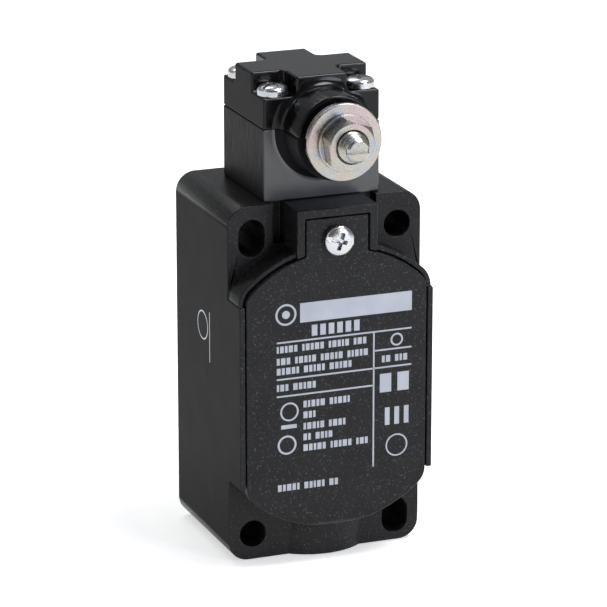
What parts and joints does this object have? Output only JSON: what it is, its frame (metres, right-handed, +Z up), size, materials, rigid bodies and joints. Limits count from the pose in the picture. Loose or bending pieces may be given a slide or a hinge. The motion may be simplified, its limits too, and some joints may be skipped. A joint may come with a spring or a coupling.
{
  "type": "limit switch",
  "caption": "Position switch with a black plastic case, a screwed front cover on a bottom hinge and a glossy rotary head whose threaded shaft carries washers and a nut for a lever",
  "frame": {"origin": "on the flat mounting face, in the middle of the four fixing holes", "axes": "+X right seen from the front, +Y to the back, into the wall that it is mounted on, +Z up towards the rotary head"},
  "size_m": [0.04, 0.0468, 0.0958],
  "materials": {
    "case_plastic": "fine textured black moulded plastic",
    "head_plastic": "smooth glossy black moulded plastic",
    "zinc_steel": "bright zinc plate, lightly turned",
    "spring_steel": "drawn spring steel",
    "rubber_black": "matt black nitrile rubber",
    "terminal_brass": "stamped brass",
    "bush_bronze": "oil-filled sintered bronze",
    "contact_silver": "silver-plated copper alloy",
    "block_plastic": "ivory moulded plastic",
    "plunger_plastic": "red-brown moulded plastic"
  },
  "bodies": {
    "case": {"case_body": "case_plastic", "cover_gasket": "rubber_black", "contact_block": "block_plastic", "block_screws": "zinc_steel", "fixed_contacts": "terminal_brass", "terminal_clamps": "zinc_steel", "terminal_screws": "zinc_steel", "contact_spring": "spring_steel", "head_gasket": "rubber_black", "head_base": "head_plastic", "head_cap": "head_plastic", "head_screws": "zinc_steel", "pusher_spring": "spring_steel", "pusher_seal": "rubber_black", "shaft_bush": "bush_bronze", "shaft_seal": "rubber_black", "torsion_spring": "spring_steel"},
    "cover": {"front_cover": "case_plastic", "cover_screw": "zinc_steel"},
    "shaft": {"shaft": "zinc_steel", "cam": "spring_steel", "circlip": "spring_steel", "serrated_disc": "zinc_steel", "clamp_washer": "zinc_steel", "flat_washer": "zinc_steel", "lever_nut": "zinc_steel"},
    "pusher": {"pusher": "block_plastic"},
    "plunger": {"contact_plunger": "plunger_plastic", "contact_bridges": "contact_silver", "snap_spring": "spring_steel"}
  },
  "joints": [
    {"name": "cover_hinge", "type": "hinge", "parent": "case", "child": "cover", "pos_m": [0, -0.03485, -0.02675], "axis": [1, 0, 0], "range_deg": [0, 90]},
    {"name": "shaft_turn", "type": "hinge", "parent": "case", "child": "shaft", "pos_m": [0, -0.036, 0.05], "axis": [0, -1, 0], "range_deg": [-70, 70], "stiffness_Nm_per_rad": 0.02},
    {"name": "pusher_slide", "type": "slide", "parent": "case", "child": "pusher", "axis": [0, 0, -1], "range_m": [0, 0.0018], "stiffness_N_per_m": 200, "springref_m": -0.002, "deforming": ["pusher_spring"]},
    {"name": "plunger_slide", "type": "slide", "parent": "case", "child": "plunger", "axis": [0, 0, -1], "range_m": [0, 0.0018], "deforming": ["contact_spring"]}
  ],
  "couplings": [
    {"joint": "plunger_slide", "follows": "pusher_slide", "ratio": 1}
  ]
}
